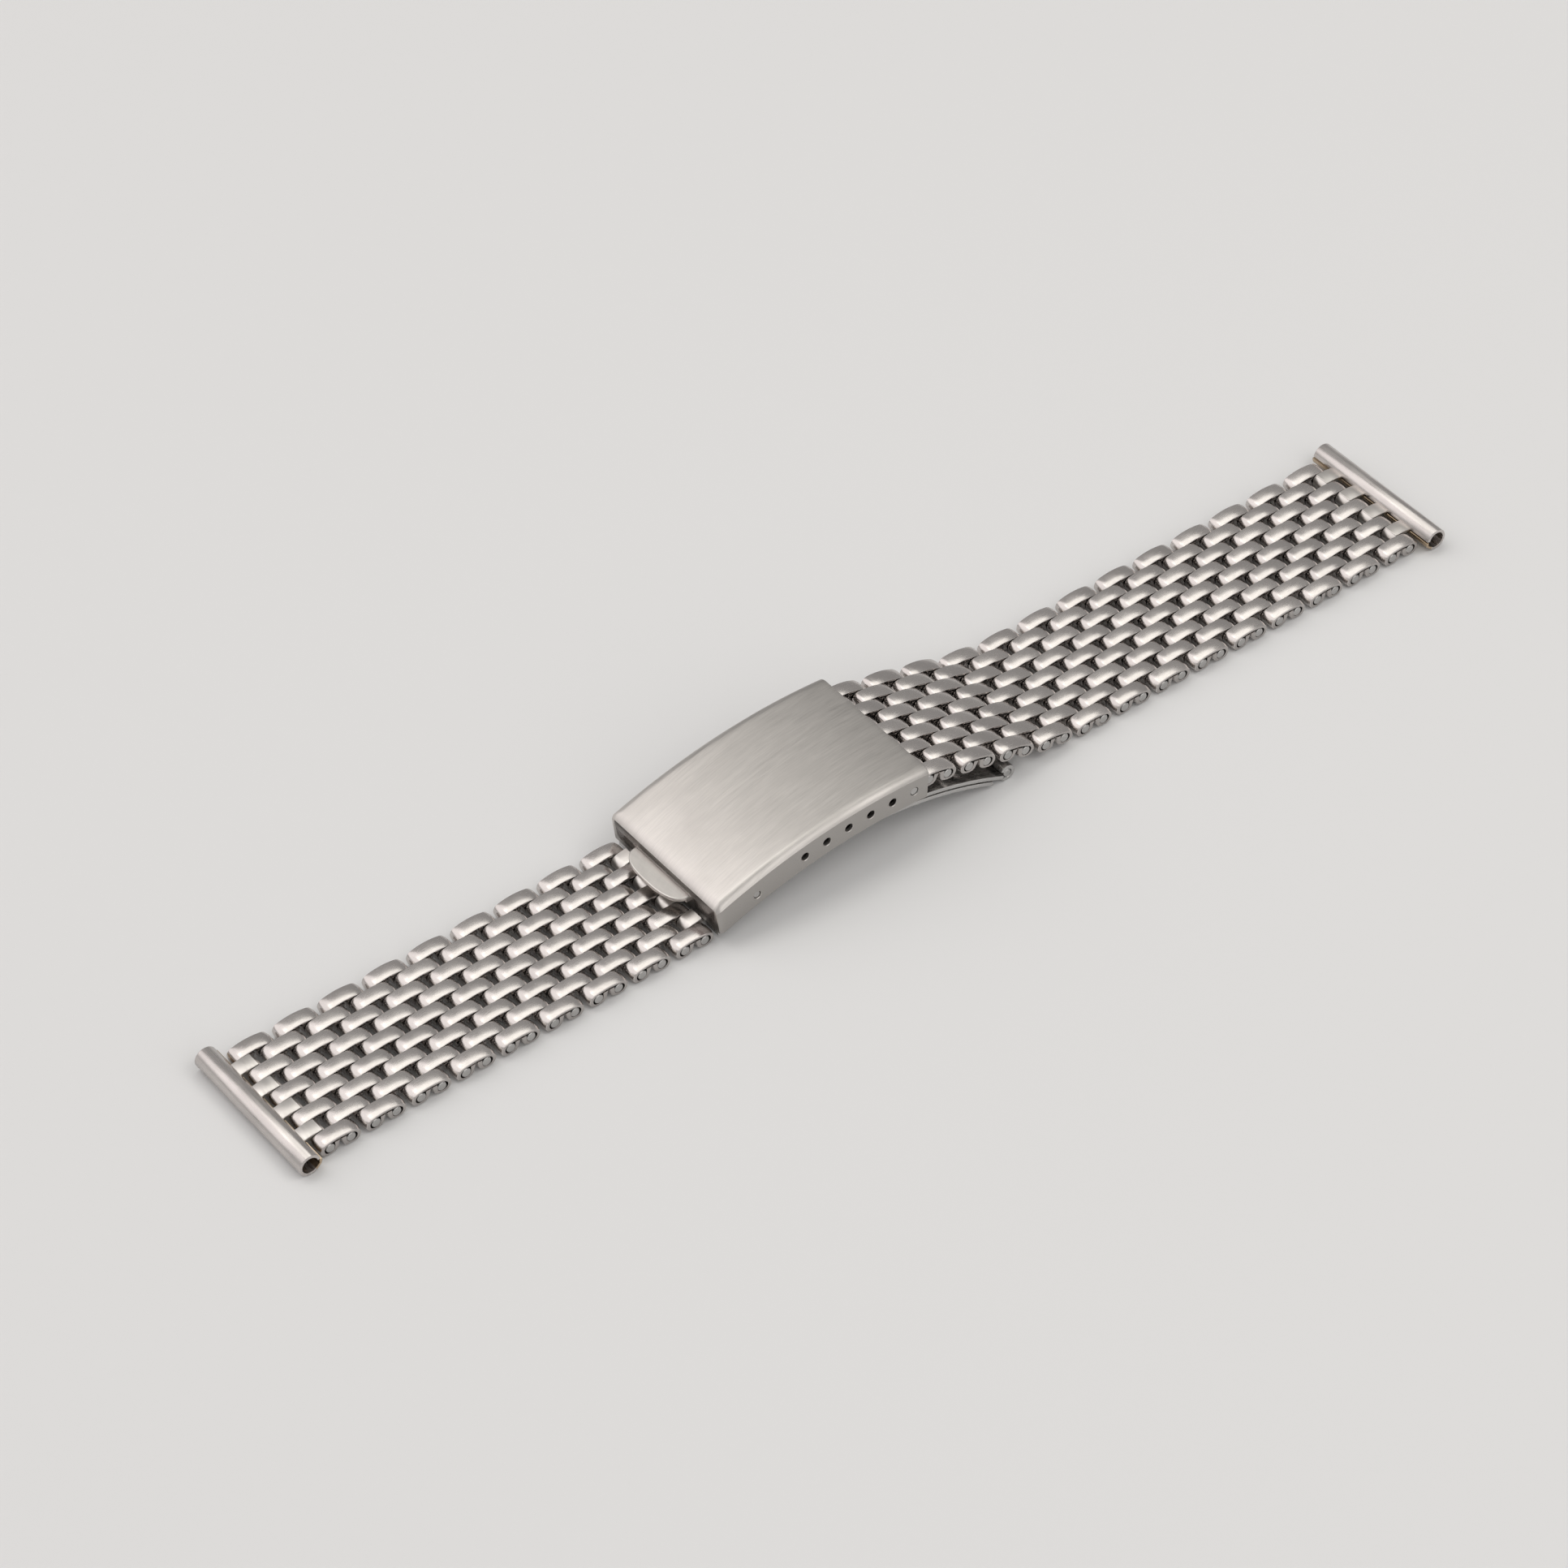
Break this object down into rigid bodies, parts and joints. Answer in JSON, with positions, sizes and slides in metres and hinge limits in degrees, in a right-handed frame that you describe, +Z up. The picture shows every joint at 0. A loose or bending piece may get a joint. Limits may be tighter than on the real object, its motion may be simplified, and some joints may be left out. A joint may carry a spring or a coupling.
{
  "type": "link watch bracelet",
  "caption": "Multi-row watch bracelet of curled, interlocking links on cross pins, with a fold-over clasp, spring bar adjustment holes and rolled end tubes.",
  "frame": {"origin": "on the surface that the closed bracelet lies on, under the middle of its bounding box", "axes": "+X along the bracelet from the finger-tab end to the spring-bar end, +Y across it, +Z up out of the clasp cover's top"},
  "size_m": [0.1426, 0.0178, 0.0082],
  "materials": {
    "satin_steel": "satin tops, polished sides",
    "brushed_cover": "brushed along the bracelet",
    "blade_steel": "satin",
    "pin_steel": "drawn wire"
  },
  "bodies": {
    "cover": {"clasp_cover": "brushed_cover", "cover_hinge_pin": "pin_steel"},
    "middle_blade": {"middle_blade": "blade_steel", "fold_hinge_pin": "pin_steel"},
    "bottom_blade": {"bottom_blade": "blade_steel", "finger_tab": "brushed_cover"},
    "left_wide_row_1": {"left_wide_row_1": "satin_steel"},
    "left_narrow_row_1": {"left_narrow_row_1": "satin_steel"},
    "left_wide_row_2": {"left_wide_row_2": "satin_steel"},
    "left_narrow_row_2": {"left_narrow_row_2": "satin_steel"},
    "left_wide_row_3": {"left_wide_row_3": "satin_steel"},
    "left_narrow_row_3": {"left_narrow_row_3": "satin_steel"},
    "left_wide_row_4": {"left_wide_row_4": "satin_steel"},
    "left_narrow_row_4": {"left_narrow_row_4": "satin_steel"},
    "left_wide_row_5": {"left_wide_row_5": "satin_steel"},
    "left_narrow_row_5": {"left_narrow_row_5": "satin_steel"},
    "left_wide_row_6": {"left_wide_row_6": "satin_steel"},
    "left_narrow_row_6": {"left_narrow_row_6": "satin_steel"},
    "left_wide_row_7": {"left_wide_row_7": "satin_steel"},
    "left_narrow_row_7": {"left_narrow_row_7": "satin_steel"},
    "left_wide_row_8": {"left_wide_row_8": "satin_steel"},
    "left_narrow_row_8": {"left_narrow_row_8": "satin_steel"},
    "left_wide_row_9": {"left_wide_row_9": "satin_steel"},
    "left_end_piece": {"left_end_piece": "satin_steel"},
    "right_narrow_row_1": {"right_narrow_row_1": "satin_steel", "bar_barrel": "pin_steel", "bar_spring": "pin_steel"},
    "right_wide_row_1": {"right_wide_row_1": "satin_steel"},
    "right_narrow_row_2": {"right_narrow_row_2": "satin_steel"},
    "right_wide_row_2": {"right_wide_row_2": "satin_steel"},
    "right_narrow_row_3": {"right_narrow_row_3": "satin_steel"},
    "right_wide_row_3": {"right_wide_row_3": "satin_steel"},
    "right_narrow_row_4": {"right_narrow_row_4": "satin_steel"},
    "right_wide_row_4": {"right_wide_row_4": "satin_steel"},
    "right_narrow_row_5": {"right_narrow_row_5": "satin_steel"},
    "right_wide_row_5": {"right_wide_row_5": "satin_steel"},
    "right_narrow_row_6": {"right_narrow_row_6": "satin_steel"},
    "right_wide_row_6": {"right_wide_row_6": "satin_steel"},
    "right_narrow_row_7": {"right_narrow_row_7": "satin_steel"},
    "right_wide_row_7": {"right_wide_row_7": "satin_steel"},
    "right_narrow_row_8": {"right_narrow_row_8": "satin_steel"},
    "right_wide_row_8": {"right_wide_row_8": "satin_steel"},
    "right_narrow_row_9": {"right_narrow_row_9": "satin_steel"},
    "right_wide_row_9": {"right_wide_row_9": "satin_steel"},
    "right_narrow_row_10": {"right_narrow_row_10": "satin_steel"},
    "right_wide_row_10": {"right_wide_row_10": "satin_steel"},
    "right_narrow_row_11": {"right_narrow_row_11": "satin_steel"},
    "right_wide_row_11": {"right_wide_row_11": "satin_steel"},
    "right_narrow_row_12": {"right_narrow_row_12": "satin_steel"},
    "right_wide_row_12": {"right_wide_row_12": "satin_steel"},
    "right_narrow_row_13": {"right_narrow_row_13": "satin_steel"},
    "right_wide_row_13": {"right_wide_row_13": "satin_steel"},
    "right_end_piece": {"right_end_piece": "satin_steel"},
    "bar_tip_near": {"bar_tip_near": "pin_steel"},
    "bar_tip_far": {"bar_tip_far": "pin_steel"}
  },
  "joints": [
    {"name": "clasp_open", "type": "hinge", "parent": "cover", "child": "middle_blade", "pos_m": [-0.01788, 0, 0.00389], "axis": [0, 1, 0], "range_deg": [0, 150]},
    {"name": "blade_unfold", "type": "hinge", "parent": "middle_blade", "child": "bottom_blade", "pos_m": [0.01362, 0, 0.00092], "axis": [0, -1, 0], "range_deg": [0, 150]},
    {"name": "left_hinge_0", "type": "hinge", "parent": "bottom_blade", "child": "left_wide_row_1", "pos_m": [-0.02378, 0, 0.00086], "axis": [0, -1, 0], "range_deg": [-12, 25]},
    {"name": "left_hinge_1", "type": "hinge", "parent": "left_wide_row_1", "child": "left_narrow_row_1", "pos_m": [-0.02612, 0, 0.00086], "axis": [0, 1, 0], "range_deg": [-25, 12]},
    {"name": "left_hinge_2", "type": "hinge", "parent": "left_narrow_row_1", "child": "left_wide_row_2", "pos_m": [-0.02892, 0, 0.00086], "axis": [0, -1, 0], "range_deg": [-12, 25]},
    {"name": "left_hinge_3", "type": "hinge", "parent": "left_wide_row_2", "child": "left_narrow_row_2", "pos_m": [-0.03126, 0, 0.00086], "axis": [0, 1, 0], "range_deg": [-25, 12]},
    {"name": "left_hinge_4", "type": "hinge", "parent": "left_narrow_row_2", "child": "left_wide_row_3", "pos_m": [-0.03406, 0, 0.00086], "axis": [0, -1, 0], "range_deg": [-12, 25]},
    {"name": "left_hinge_5", "type": "hinge", "parent": "left_wide_row_3", "child": "left_narrow_row_3", "pos_m": [-0.0364, 0, 0.00086], "axis": [0, 1, 0], "range_deg": [-25, 12]},
    {"name": "left_hinge_6", "type": "hinge", "parent": "left_narrow_row_3", "child": "left_wide_row_4", "pos_m": [-0.0392, 0, 0.00086], "axis": [0, -1, 0], "range_deg": [-12, 25]},
    {"name": "left_hinge_7", "type": "hinge", "parent": "left_wide_row_4", "child": "left_narrow_row_4", "pos_m": [-0.04154, 0, 0.00086], "axis": [0, 1, 0], "range_deg": [-25, 12]},
    {"name": "left_hinge_8", "type": "hinge", "parent": "left_narrow_row_4", "child": "left_wide_row_5", "pos_m": [-0.04434, 0, 0.00086], "axis": [0, -1, 0], "range_deg": [-12, 25]},
    {"name": "left_hinge_9", "type": "hinge", "parent": "left_wide_row_5", "child": "left_narrow_row_5", "pos_m": [-0.04668, 0, 0.00086], "axis": [0, 1, 0], "range_deg": [-25, 12]},
    {"name": "left_hinge_10", "type": "hinge", "parent": "left_narrow_row_5", "child": "left_wide_row_6", "pos_m": [-0.04948, 0, 0.00086], "axis": [0, -1, 0], "range_deg": [-12, 25]},
    {"name": "left_hinge_11", "type": "hinge", "parent": "left_wide_row_6", "child": "left_narrow_row_6", "pos_m": [-0.05182, 0, 0.00086], "axis": [0, 1, 0], "range_deg": [-25, 12]},
    {"name": "left_hinge_12", "type": "hinge", "parent": "left_narrow_row_6", "child": "left_wide_row_7", "pos_m": [-0.05462, 0, 0.00086], "axis": [0, -1, 0], "range_deg": [-12, 25]},
    {"name": "left_hinge_13", "type": "hinge", "parent": "left_wide_row_7", "child": "left_narrow_row_7", "pos_m": [-0.05696, 0, 0.00086], "axis": [0, 1, 0], "range_deg": [-25, 12]},
    {"name": "left_hinge_14", "type": "hinge", "parent": "left_narrow_row_7", "child": "left_wide_row_8", "pos_m": [-0.05976, 0, 0.00086], "axis": [0, -1, 0], "range_deg": [-12, 25]},
    {"name": "left_hinge_15", "type": "hinge", "parent": "left_wide_row_8", "child": "left_narrow_row_8", "pos_m": [-0.0621, 0, 0.00086], "axis": [0, 1, 0], "range_deg": [-25, 12]},
    {"name": "left_hinge_16", "type": "hinge", "parent": "left_narrow_row_8", "child": "left_wide_row_9", "pos_m": [-0.0649, 0, 0.00086], "axis": [0, -1, 0], "range_deg": [-12, 25]},
    {"name": "left_hinge_17", "type": "hinge", "parent": "left_wide_row_9", "child": "left_end_piece", "pos_m": [-0.06724, 0, 0.00086], "axis": [0, 1, 0], "range_deg": [-25, 12]},
    {"name": "right_hinge_0", "type": "hinge", "parent": "cover", "child": "right_narrow_row_1", "pos_m": [0.00142, 0, 0.00612], "axis": [0, 1, 0], "range_deg": [-1.2, 1.2]},
    {"name": "right_hinge_1", "type": "hinge", "parent": "right_narrow_row_1", "child": "right_wide_row_1", "pos_m": [0.00384, 0, 0.00573], "axis": [0, -1, 0], "range_deg": [-2, 2]},
    {"name": "right_hinge_2", "type": "hinge", "parent": "right_wide_row_1", "child": "right_narrow_row_2", "pos_m": [0.00613, 0, 0.00524], "axis": [0, 1, 0], "range_deg": [-2, 2]},
    {"name": "right_hinge_3", "type": "hinge", "parent": "right_narrow_row_2", "child": "right_wide_row_2", "pos_m": [0.00884, 0, 0.00454], "axis": [0, -1, 0], "range_deg": [-3.5, 6]},
    {"name": "right_hinge_4", "type": "hinge", "parent": "right_wide_row_2", "child": "right_narrow_row_3", "pos_m": [0.0111, 0, 0.00392], "axis": [0, 1, 0], "range_deg": [-8, 6]},
    {"name": "right_hinge_5", "type": "hinge", "parent": "right_narrow_row_3", "child": "right_wide_row_3", "pos_m": [0.01379, 0, 0.00317], "axis": [0, -1, 0], "range_deg": [-12, 10]},
    {"name": "right_hinge_6", "type": "hinge", "parent": "right_wide_row_3", "child": "right_narrow_row_4", "pos_m": [0.01603, 0, 0.00246], "axis": [0, 1, 0], "range_deg": [-12, 25]},
    {"name": "right_hinge_7", "type": "hinge", "parent": "right_narrow_row_4", "child": "right_wide_row_4", "pos_m": [0.01869, 0, 0.0016], "axis": [0, -1, 0], "range_deg": [-25, 12]},
    {"name": "right_hinge_8", "type": "hinge", "parent": "right_wide_row_4", "child": "right_narrow_row_5", "pos_m": [0.021, 0, 0.00127], "axis": [0, 1, 0], "range_deg": [-12, 25]},
    {"name": "right_hinge_9", "type": "hinge", "parent": "right_narrow_row_5", "child": "right_wide_row_5", "pos_m": [0.02378, 0, 0.00088], "axis": [0, -1, 0], "range_deg": [-25, 12]},
    {"name": "right_hinge_10", "type": "hinge", "parent": "right_wide_row_5", "child": "right_narrow_row_6", "pos_m": [0.02612, 0, 0.00086], "axis": [0, 1, 0], "range_deg": [-12, 25]},
    {"name": "right_hinge_11", "type": "hinge", "parent": "right_narrow_row_6", "child": "right_wide_row_6", "pos_m": [0.02892, 0, 0.00086], "axis": [0, -1, 0], "range_deg": [-25, 12]},
    {"name": "right_hinge_12", "type": "hinge", "parent": "right_wide_row_6", "child": "right_narrow_row_7", "pos_m": [0.03126, 0, 0.00086], "axis": [0, 1, 0], "range_deg": [-12, 25]},
    {"name": "right_hinge_13", "type": "hinge", "parent": "right_narrow_row_7", "child": "right_wide_row_7", "pos_m": [0.03406, 0, 0.00086], "axis": [0, -1, 0], "range_deg": [-25, 12]},
    {"name": "right_hinge_14", "type": "hinge", "parent": "right_wide_row_7", "child": "right_narrow_row_8", "pos_m": [0.0364, 0, 0.00086], "axis": [0, 1, 0], "range_deg": [-12, 25]},
    {"name": "right_hinge_15", "type": "hinge", "parent": "right_narrow_row_8", "child": "right_wide_row_8", "pos_m": [0.0392, 0, 0.00086], "axis": [0, -1, 0], "range_deg": [-25, 12]},
    {"name": "right_hinge_16", "type": "hinge", "parent": "right_wide_row_8", "child": "right_narrow_row_9", "pos_m": [0.04154, 0, 0.00086], "axis": [0, 1, 0], "range_deg": [-12, 25]},
    {"name": "right_hinge_17", "type": "hinge", "parent": "right_narrow_row_9", "child": "right_wide_row_9", "pos_m": [0.04434, 0, 0.00086], "axis": [0, -1, 0], "range_deg": [-25, 12]},
    {"name": "right_hinge_18", "type": "hinge", "parent": "right_wide_row_9", "child": "right_narrow_row_10", "pos_m": [0.04668, 0, 0.00086], "axis": [0, 1, 0], "range_deg": [-12, 25]},
    {"name": "right_hinge_19", "type": "hinge", "parent": "right_narrow_row_10", "child": "right_wide_row_10", "pos_m": [0.04948, 0, 0.00086], "axis": [0, -1, 0], "range_deg": [-25, 12]},
    {"name": "right_hinge_20", "type": "hinge", "parent": "right_wide_row_10", "child": "right_narrow_row_11", "pos_m": [0.05182, 0, 0.00086], "axis": [0, 1, 0], "range_deg": [-12, 25]},
    {"name": "right_hinge_21", "type": "hinge", "parent": "right_narrow_row_11", "child": "right_wide_row_11", "pos_m": [0.05462, 0, 0.00086], "axis": [0, -1, 0], "range_deg": [-25, 12]},
    {"name": "right_hinge_22", "type": "hinge", "parent": "right_wide_row_11", "child": "right_narrow_row_12", "pos_m": [0.05696, 0, 0.00086], "axis": [0, 1, 0], "range_deg": [-12, 25]},
    {"name": "right_hinge_23", "type": "hinge", "parent": "right_narrow_row_12", "child": "right_wide_row_12", "pos_m": [0.05976, 0, 0.00086], "axis": [0, -1, 0], "range_deg": [-25, 12]},
    {"name": "right_hinge_24", "type": "hinge", "parent": "right_wide_row_12", "child": "right_narrow_row_13", "pos_m": [0.0621, 0, 0.00086], "axis": [0, 1, 0], "range_deg": [-12, 25]},
    {"name": "right_hinge_25", "type": "hinge", "parent": "right_narrow_row_13", "child": "right_wide_row_13", "pos_m": [0.0649, 0, 0.00086], "axis": [0, -1, 0], "range_deg": [-25, 12]},
    {"name": "right_hinge_26", "type": "hinge", "parent": "right_wide_row_13", "child": "right_end_piece", "pos_m": [0.06724, 0, 0.00086], "axis": [0, 1, 0], "range_deg": [-12, 25]},
    {"name": "tip_near_press", "type": "slide", "parent": "right_narrow_row_1", "child": "bar_tip_near", "axis": [0, 1, 0], "range_m": [0, 0.0008], "stiffness_N_per_m": 250, "springref_m": -0.001},
    {"name": "tip_far_press", "type": "slide", "parent": "right_narrow_row_1", "child": "bar_tip_far", "axis": [0, -1, 0], "range_m": [0, 0.0008], "stiffness_N_per_m": 250, "springref_m": -0.001}
  ],
  "couplings": [
    {"joint": "blade_unfold", "follows": "clasp_open", "ratio": 1}
  ]
}
